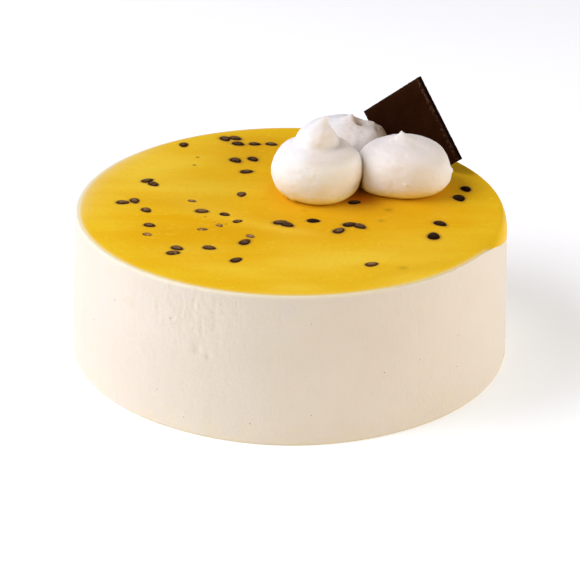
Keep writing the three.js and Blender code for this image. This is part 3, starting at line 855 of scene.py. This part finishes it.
# Profile from the contact with the jelly to the tip (radius, height in mm), lean of the tip and the
# height where it starts, two soft lobes, how far its foot is off its middle, and dabs: azimuth, height,
# width and push in mm, and for a bead how sudden it is. Then how much painted shade the whole kiss
# gets, and from what height it gets more on the side away from the main light; and for the back kiss the
# middle of the painted shade beside the chocolate: place from its middle and height in mm.
KISSES = [
    {
        "name": "meringue_front_left",
        "profile": [
            (14.2, 0), (17.3, 2.0), (19.4, 5.6), (20.2, 10.2), (19.8, 14.2), (18.6, 18.0), (16.2, 21.0),
            (13.6, 22.8), (11.7, 23.7), (10.6, 24.2), (10.0, 25.0), (9.5, 26.2), (8.9, 27.4), (8.2, 28.6),
            (7.2, 29.8), (5.7, 31.0), (3.8, 32.5), (2.6, 33.8), (1.7, 34.9), (1.15, 35.5), (0.7, 35.9),
            (0, 36.1),
        ],
        "lean": (4.0, 0.5), "lean_from": 29.3, "lobe": 0.25, "lobe_turn": 40, "foot": (1.7, -1.1),
        "shade_paint": (0.0, 17),
        "dabs": [
            (-160, 25.5, 4.0, -0.3), (-18, 26.3, 4.2, -1.4), (-100, 18, 9, 0.3), (-132, 2.5, 1.4, 0.8, 3),
            (-60, 22, 5, 0.3), (-140, 12, 7, 0.25), (-25, 23.0, 4, 0.5), (180, 20, 7, -0.3),
            (-80, 27, 3.0, 0.9), (-78, 30.5, 2.4, 0.7), (-45, 28, 3.2, -0.8), (-30, 13, 3.5, -0.3),
            (-85, 11, 3, 0.25), (-120, 16, 3.5, -0.2), (-150, 8, 4, 0.3), (-75, 23, 3, -0.25),
            (-32, 3.5, 6.5, -1.0), (8, 10, 8, 0.9),
        ],
    },
    {
        "name": "meringue_front_right",
        "profile": [
            (15.2, 0), (18.5, 1.8), (20.3, 4.8), (20.8, 8.3), (20.3, 12.4), (18.6, 16.3), (15.3, 19.4),
            (11.2, 21.4), (7.4, 22.7), (4.7, 23.6), (2.9, 24.5), (1.5, 25.4), (0.6, 26.4), (0, 27.0),
        ],
        "lean": (-2.6, 0.5), "lean_from": 19, "lobe": 0.5, "lobe_turn": 150, "foot": (-1.2, 0.1),
        "shade_paint": (0.75, 12),
        "dabs": [
            (-135, 12, 5.5, 0.35), (-48, 22.0, 3.6, -0.9), (5, 20.5, 5.0, -0.6), (-93, 9, 0.9, 0.6, 3),
            (-118, 18.2, 1.6, -0.25), (-126, 18.4, 1.2, 0.25), (-3, 8.6, 1.3, 0.9, 4), (-75, 19, 5, 0.4),
            (-8, 15, 7, -0.9), (165, 21.5, 6, -0.7), (-172, 10, 8, 1.3), (-100, 20, 3, -0.4),
            (-100, 14, 3.6, -0.5), (175, 17, 8, 0.8), (-150, 3, 8, 1.2), (-70, 12, 3.0, -0.35),
            (-40, 14, 4.0, 0.3), (-95, 10.5, 1.8, -0.3),
        ],
    },
    {
        "name": "meringue_back",
        "profile": [
            (14.5, 0), (18.8, 1.7), (21.2, 4.8), (21.9, 8.0), (21.2, 11.0), (18.7, 14.5), (14.4, 17.2),
            (9.6, 18.9), (6.2, 20.0), (3.6, 21.2), (1.8, 22.4), (0.7, 23.1), (0, 23.2),
        ],
        "lean": (3.8, -2.0), "lean_from": 15, "lobe": 0.4, "lobe_turn": 260, "foot": (0.0, 0.0),
        "shade_paint": (0.1, 6), "rubbed": (15, 0, 14),
        "dabs": [
            (45, 17.5, 7.5, -1.8), (-5, 19.8, 3.6, -2.8), (-50, 16, 5.0, 0.5), (150, 17, 7.0, 0.3),
            (-20, 12, 4, -0.5), (-35, 17, 2.5, 0.5), (8, 15.5, 4, 0.9), (-55, 17.5, 1.8, -0.5),
            (10, 18.4, 3.0, 1.3), (-12, 16.5, 1.6, -0.6),
            (-75, 15, 2.5, 0.5), (-62, 11, 3, -0.5),
        ],
    },
]

WHITE = (0.985, 0.98, 0.965)
BRIGHTER_WHITE = (0.99, 0.985, 0.975)
PAINTED_SHADE_WHITE = (0.865, 0.80, 0.75)
PAINTED_BOUNCE_CREAM = (0.97, 0.90, 0.70)
PAINTED_JELLY_BOUNCE = (0.98, 0.78, 0.11)
PAINTED_CHOCOLATE_SHADE = (0.60, 0.53, 0.47)


def smooth_line(marks, count):
    """count points on a smooth curve through the marks, close together where the marks are."""
    marks = np.array(marks, float)
    padded = np.vstack([2 * marks[0] - marks[1], marks, 2 * marks[-1] - marks[-2]])
    at = np.linspace(0, len(marks) - 1, count)
    k = np.minimum(at.astype(int), len(marks) - 2)
    t = (at - k)[:, None]
    a, b, c, d = padded[k], padded[k + 1], padded[k + 2], padded[k + 3]
    bent = (2 * a - 5 * b + 4 * c - d) * t * t + (3 * b - a - 3 * c + d) * t ** 3
    return 0.5 * (2 * b + (c - a) * t + bent)


meringue_look, tree, shader = new_material(
    "soft meringue", 0.6, Specular_IOR_Level=0.15, Subsurface_Weight=0.6, Subsurface_Scale=0.004,
    Subsurface_Radius=(1.0, 0.9, 0.8),
)
above_jelly = axes(tree, "ShaderNodeTexCoord", "Object")[2] - TOP
paint(tree, shader, WHITE, [
    (noise(tree, 60, 3).step(0.35, 0.7), BRIGHTER_WHITE),
    # painted shade
    (attribute(tree, "toasted"), PAINTED_SHADE_WHITE),
    # painted light: warm light bounced up from the jelly, cream low on the kiss and golden at its foot
    (1 - above_jelly.step(0.0, 8.5 * MM, soft=True), PAINTED_BOUNCE_CREAM),
    ((1 - above_jelly.step(1 * MM, 6 * MM, soft=True)) * 0.85, PAINTED_JELLY_BOUNCE),
    # painted shade beside the chocolate
    (attribute(tree, "rubbed") * 0.8, PAINTED_CHOCOLATE_SHADE),
])
bubbles = noise(tree, 620, 1).step(0.66, 0.74, soft=True)
relief(tree, shader, noise(tree, 500, 3) + noise(tree, 160, 2) * 1.5 - bubbles * 0.7, 0.55, 0.5 * MM)

turn = np.linspace(-math.pi, math.pi, KISS_COLUMNS, endpoint=False)
for kiss in KISSES:
    middle_x, middle_y, kiss_radius = KISS_PLACES[kiss["name"]]
    middle = np.array([middle_x, middle_y])
    outline = smooth_line(kiss["profile"], KISS_ROWS)[:-1] * MM
    widths, heights = np.maximum(outline[:, 0], NARROWEST_RING), outline[:, 1]
    rings = [(np.full_like(turn, width), np.full_like(turn, up)) for width, up in zip(widths, heights)]
    tip = kiss["profile"][-1][1] * MM
    mesh, points = lathe(kiss["name"], turn, (0, 0, 0), rings, (0, 0, tip))
    around = np.arctan2(points[:, 1], points[:, 0])
    lobe_turn = kiss["lobe_turn"] * DEGREE
    twisted = 3 * around - lobe_turn + points[:, 2] / LOBE_TWIST
    lobe = np.sin(2 * around + lobe_turn) + 0.6 * np.sin(twisted)
    points[:, :2] *= (1 + kiss["lobe"] * lobe / kiss_radius)[:, None]
    # each dab pushes the soft meringue out or in around one spot, away from the heart of the kiss
    heart = np.array([0, 0, kiss["profile"][3][1] * MM])
    for dab_azimuth, dab_height, dab_width, push, *bead in kiss["dabs"]:
        dab_out = np.interp(dab_height * MM, heights, widths)
        dab_turn = dab_azimuth * DEGREE
        spot = np.array([dab_out * math.cos(dab_turn), dab_out * math.sin(dab_turn), dab_height * MM])
        away = np.linalg.norm(points - spot, axis=1)
        heading_out = (spot - heart) / np.linalg.norm(spot - heart)
        reach = np.exp(-(away / (dab_width * MM)) ** (bead[0] if bead else SOFT_DAB))
        points += push * MM * reach[:, None] * heading_out
    # set meringue is never quite even
    apart_in_noise = Vector((7.0 * len(rings) + middle_x, 3.0 + middle_y, 1.0))
    swell = np.array([mesh_noise(Vector(p) * UNEVEN_SCALE + apart_in_noise) for p in points.tolist()])
    grain = np.array([mesh_noise(Vector(p) * FINE_SCALE + apart_in_noise) for p in points.tolist()])
    outward = points - heart
    outward /= np.maximum(np.linalg.norm(outward, axis=1), 1e-6)[:, None]
    free = np.clip(points[:, 2] / EVEN_FOOT, 0, 1)
    points += ((swell * KISS_UNEVEN + grain * KISS_FINE) * free)[:, None] * outward
    lean = np.clip((points[:, 2] / MM - kiss["lean_from"]) / (tip / MM - kiss["lean_from"]), 0, 1)
    low_down = np.exp(-(points[:, 2] / FOOT_HEIGHT) ** 2)
    leaning, off_foot = np.array(kiss["lean"]) * MM, np.array(kiss["foot"]) * MM
    points[:, :2] += np.outer(lean ** LEAN_POWER, leaning) + np.outer(low_down, off_foot)
    # where two of them touch they are flat
    for other, (other_x, other_y, other_radius) in KISS_PLACES.items():
        if other == kiss["name"]:
            continue
        between = (np.array([other_x, other_y]) - middle) * MM
        apart = np.linalg.norm(between)
        limit = apart * kiss_radius / (kiss_radius + other_radius) - KISS_GAP / 2
        beyond = np.maximum(0, points[:, :2] @ between / apart - limit)
        points[:, :2] -= beyond[:, None] * between / apart
    # painted shade: some over the whole kiss, and more above a height on the side away from the main
    # light
    evenly, shade_from = kiss["shade_paint"]
    shaded_turn = SHADED_AZIMUTH * DEGREE
    towards_shaded_side = points[:, 0] * math.cos(shaded_turn) + points[:, 1] * math.sin(shaded_turn)
    higher = soft_step((points[:, 2] / MM - shade_from) / SHADE_RISE)
    more = soft_step(0.5 + towards_shaded_side / SHADE_FADE) * higher
    store(mesh, "toasted", evenly + (1 - evenly) * more)
    # painted shade on the kiss where it stands by the chocolate
    if "rubbed" in kiss:
        away = np.linalg.norm(points - np.array(kiss["rubbed"]) * MM, axis=1)
        store(mesh, "rubbed", np.exp(-(away / CHOCOLATE_SHADE_WIDTH) ** 2))
    points += np.array([middle_x * MM, middle_y * MM, TOP])
    mesh.vertices.foreach_set("co", points.ravel())
    mesh.materials.append(meringue_look)
    piece = add(kiss["name"] + "_kiss", mesh)
    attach(piece, "root")
    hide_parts(kiss["name"])


# The chocolate
#
# A square cut from a thin sheet of dark chocolate, snapped out rather than trimmed, so its edges
# are a little crumbly. It stands on one corner, pushed into the cake behind the kisses.

SQUARE_SIDE = 42.9 * MM
SQUARE_THICKNESS = 2.2 * MM
SQUARE_BEVEL = 0.2 * MM
SQUARE_MIDDLE = (56.5 * MM, 53.9 * MM, 78.7 * MM)
SQUARE_YAW = -44.4  # about the upright axis
SQUARE_LEAN = 2.4
SQUARE_SPIN = -37.2  # in its own plane
SQUARE_STEPS = 90
THICKNESS_STEPS = 6
SQUARE_CRUMBLE = 0.12 * MM  # most that crumbs have left at its edges
CRUMBLE_WIDTH = 0.7 * MM
CRUMBLE_SCALE, FINE_CRUMBLE_SCALE = 900, 2300  # of the two noises that it is made of
FINE_CRUMBLE = 0.6  # how strong the second is
WORN_WIDTH = 0.9 * MM
CRUMB_HIGHLIGHT_LINE = 1.3 * MM  # how far inside the right-hand edge the pale line of crumbs and painted highlight lies
CRUMB_HIGHLIGHT_WIDTH = 0.7 * MM

DARK_BROWN = (0.021, 0.006, 0.0022)
BROWN = (0.028, 0.0085, 0.0032)
WORN_BROWN = (0.085, 0.045, 0.028)
CRUMB_AND_HIGHLIGHT_BROWN = (0.16, 0.09, 0.06)
SHADED_SIDE_BROWN = (0.007, 0.0025, 0.0012)


def steps_between(half, bevel, count):
    """Places along one side of a slab, from -half to half, with a few close together at each bevel."""
    inner = np.linspace(bevel - half, half - bevel, count)
    start = np.linspace(-half, bevel - half, 4)[:-1]
    return np.concatenate([start, inner, -start[::-1]])


along_x = steps_between(SQUARE_SIDE / 2, SQUARE_BEVEL, SQUARE_STEPS)
along_y = steps_between(SQUARE_THICKNESS / 2, SQUARE_BEVEL, THICKNESS_STEPS)
corner_numbers = {}
corners, faces = [], []


def corner_number(x, y, z):
    """The number of the corner at this place, which two sheets share along an edge."""
    key = (round(x * 1e7), round(y * 1e7), round(z * 1e7))
    if key not in corner_numbers:
        corner_numbers[key] = len(corners)
        corners.append((x, y, z))
    return corner_numbers[key]


def face_sheet(first, second, place_on):
    """One face of the slab as a sheet of small squares."""
    for a0, a1 in zip(first[:-1], first[1:]):
        for b0, b1 in zip(second[:-1], second[1:]):
            square = ((a0, b0), (a1, b0), (a1, b1), (a0, b1))
            faces.append([corner_number(*place_on(a, b)) for a, b in square])


half, thick = SQUARE_SIDE / 2, SQUARE_THICKNESS / 2
face_sheet(along_x, along_x, lambda a, b: (a, -thick, b))
face_sheet(along_x, along_x, lambda a, b: (-a, thick, b))
face_sheet(along_y, along_x, lambda a, b: (half, a, b))
face_sheet(along_y, along_x, lambda a, b: (-half, -a, b))
face_sheet(along_x, along_y, lambda a, b: (a, b, half))
face_sheet(along_x, along_y, lambda a, b: (a, -b, -half))
flat_points = np.array(corners)
within = np.array([half, thick, half]) - SQUARE_BEVEL
inner = np.clip(flat_points, -within, within)
offset = flat_points - inner
reach = np.maximum(np.linalg.norm(offset, axis=1), 1e-9)
points = inner + offset * (SQUARE_BEVEL / reach)[:, None]
on_face = np.abs(flat_points[:, 1]) > thick - 1e-7
to_edge = half - np.maximum(np.abs(flat_points[:, 0]), np.abs(flat_points[:, 2]))
crumbs = np.array([
    mesh_noise(Vector(p) * CRUMBLE_SCALE) + FINE_CRUMBLE * mesh_noise(Vector(p) * FINE_CRUMBLE_SCALE)
    for p in corners
])
at_edge = np.exp(-np.maximum(0, to_edge) / CRUMBLE_WIDTH)
rough_edge = at_edge * np.clip(0.4 + crumbs, 0, 1) * SQUARE_CRUMBLE
points -= offset / reach[:, None] * rough_edge[:, None]
points[:, 1] += thick
square_mesh = bpy.data.meshes.new("chocolate")
placed = (
    Matrix.Translation(SQUARE_MIDDLE) @ Matrix.Rotation(SQUARE_YAW * DEGREE, 4, "Z")
    @ Matrix.Rotation(SQUARE_LEAN * DEGREE, 4, "X") @ Matrix.Rotation(SQUARE_SPIN * DEGREE, 4, "Y")
)
square_mesh.from_pydata([placed @ Vector(p) for p in points.tolist()], [], faces)
square_mesh.shade_smooth()
store(square_mesh, "flat_place", flat_points, "FLOAT_VECTOR", "vector")
store(square_mesh, "worn", np.exp(-np.maximum(0, to_edge) / WORN_WIDTH) * on_face)
from_right = half - flat_points[:, 0]
crumb_highlight = np.exp(-((from_right - CRUMB_HIGHLIGHT_LINE) / CRUMB_HIGHLIGHT_WIDTH) ** 2)
store(square_mesh, "crumbs", crumb_highlight * on_face)
store(square_mesh, "cut_side", 1.0 - on_face)

chocolate_look, tree, shader = new_material("dark chocolate", 0.55, Specular_IOR_Level=0.0)
flat_place = node(tree, "ShaderNodeAttribute", attribute_name="flat_place").outputs["Vector"]
crumbly = noise(tree, 1300, 3, coords=flat_place).step(0.45, 0.65)
broken = noise(tree, 700, 3, coords=flat_place, place=(0.3, 0, 0)).step(0.50, 0.66)
paint(tree, shader, DARK_BROWN, [
    (noise(tree, 120, 3, coords=flat_place).step(0.35, 0.7), BROWN),
    (attribute(tree, "worn") * crumbly * 0.6, WORN_BROWN),
    # pale crumbs along the right-hand edge, partly a painted highlight
    (attribute(tree, "crumbs") * broken * 0.6, CRUMB_AND_HIGHLIGHT_BROWN),
    # painted shade on the cut sides
    (attribute(tree, "cut_side") * (1 - crumbly * 0.3), SHADED_SIDE_BROWN),
])
relief(tree, shader, noise(tree, 700, 3, coords=flat_place), 0.25, 0.3 * MM)
square_mesh.materials.append(chocolate_look)

chocolate = add("chocolate", square_mesh)
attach(chocolate, "root")
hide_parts("chocolate_square")


# The floor, the camera and the light
#
# A plain pale floor, the camera at the angle of the photograph, and a studio with four soft boxes:
# the main light on the left, one beside it towards the front, and two on the right that fill in.

FLOOR_REACH = 6
FLOOR_WHITE = (0.91, 0.91, 0.91, 1)
FLOOR_GLOW = (0.92, 0.96, 1, 1)
GLOW_STRENGTH = 0.39

floor_corners = [(x * FLOOR_REACH, y * FLOOR_REACH, 0) for x, y in ((-1, -1), (1, -1), (1, 1), (-1, 1))]
floor_mesh = bpy.data.meshes.new("floor")
floor_mesh.from_pydata(floor_corners, [], [(0, 1, 2, 3)])
floor = add("floor", floor_mesh)
floor_look, tree, shader = new_material(
    "pale floor", 0.8, Base_Color=FLOOR_WHITE, Emission_Color=FLOOR_GLOW, Emission_Strength=GLOW_STRENGTH,
)
floor_mesh.materials.append(floor_look)

CAMERA_ELEVATION = 25.82 * DEGREE
CAMERA_ROLL = 0.42 * DEGREE
CAMERA_DISTANCE = 804.5 * MM
CAMERA_TARGET = Vector((0.28 * MM, 0, 23.34 * MM))
CAMERA_LENS = 109.24
CAMERA_SENSOR = 36
CAMERA_REACH = 20

camera = add("camera", bpy.data.cameras.new("camera"))
camera.data.lens = CAMERA_LENS
camera.data.sensor_width = CAMERA_SENSOR
camera.data.clip_end = CAMERA_REACH
ahead = Vector((0, math.cos(CAMERA_ELEVATION), -math.sin(CAMERA_ELEVATION)))
upward = Vector((0, math.sin(CAMERA_ELEVATION), math.cos(CAMERA_ELEVATION)))
right = Vector((math.cos(CAMERA_ROLL), 0, 0)) + upward * math.sin(CAMERA_ROLL)
upright = Vector((-math.sin(CAMERA_ROLL), 0, 0)) + upward * math.cos(CAMERA_ROLL)
turned = Matrix((right, upright, -ahead)).transposed().to_4x4()
camera.matrix_world = Matrix.Translation(CAMERA_TARGET - ahead * CAMERA_DISTANCE) @ turned
bpy.context.scene.camera = camera

# The room gives a weak warm light. Past the floor the camera sees it in the far floor's own grey.
ROOM_COLOUR = (1.0, 0.78, 0.55, 1)
ROOM_STRENGTH = 0.12
FAR_FLOOR_GREY = (0.47, 0.46, 0.45, 1)

sky = bpy.data.worlds.new("studio")
sky.use_nodes = True
tree = sky.node_tree
warm = tree.nodes["Background"]
warm.inputs["Color"].default_value = ROOM_COLOUR
warm.inputs["Strength"].default_value = ROOM_STRENGTH
seen = node(tree, "ShaderNodeBackground", {"Color": FAR_FLOOR_GREY})
seen_by = tree.nodes.new("ShaderNodeLightPath")
either = node(tree, "ShaderNodeMixShader", {0: seen_by.outputs["Is Camera Ray"]})
tree.links.new(warm.outputs[0], either.inputs[1])
tree.links.new(seen.outputs[0], either.inputs[2])
tree.links.new(either.outputs[0], tree.nodes["World Output"].inputs["Surface"])
bpy.context.scene.world = sky

LIGHT_AIM = Vector((0, 0, 40 * MM))
LIGHT_DISTANCE = 1.3


def soft_light(name, azimuth, rise, size, power, colour):
    """A rectangular soft box that faces the cake: azimuth and rise in degrees, size in metres."""
    lamp = bpy.data.lights.new(name, "AREA")
    lamp.shape = "RECTANGLE"
    lamp.size, lamp.size_y = size
    lamp.energy = power
    lamp.color = colour
    made = add(name, lamp)
    turn = azimuth * DEGREE
    flat, up = math.cos(rise * DEGREE), math.sin(rise * DEGREE)
    towards = Vector((math.cos(turn) * flat, math.sin(turn) * flat, up))
    made.location = LIGHT_AIM + towards * LIGHT_DISTANCE
    made.rotation_euler = (-towards).to_track_quat("-Z", "Y").to_euler()


soft_light("key", 180, 45, (1.0, 0.8), 13.0, (1.0, 0.965, 1.08))
soft_light("front_key", 215, 30, (1.0, 0.8), 6.9, (0.78, 0.87, 0.90))
soft_light("fill", 0, 18, (1.0, 0.7), 8.8, (0.78, 0.88, 1.02))
soft_light("warm_fill", -30, 12, (1.0, 0.7), 4.0, (1.0, 0.66, 0.2))
bpy.context.scene.view_settings.view_transform = "Standard"
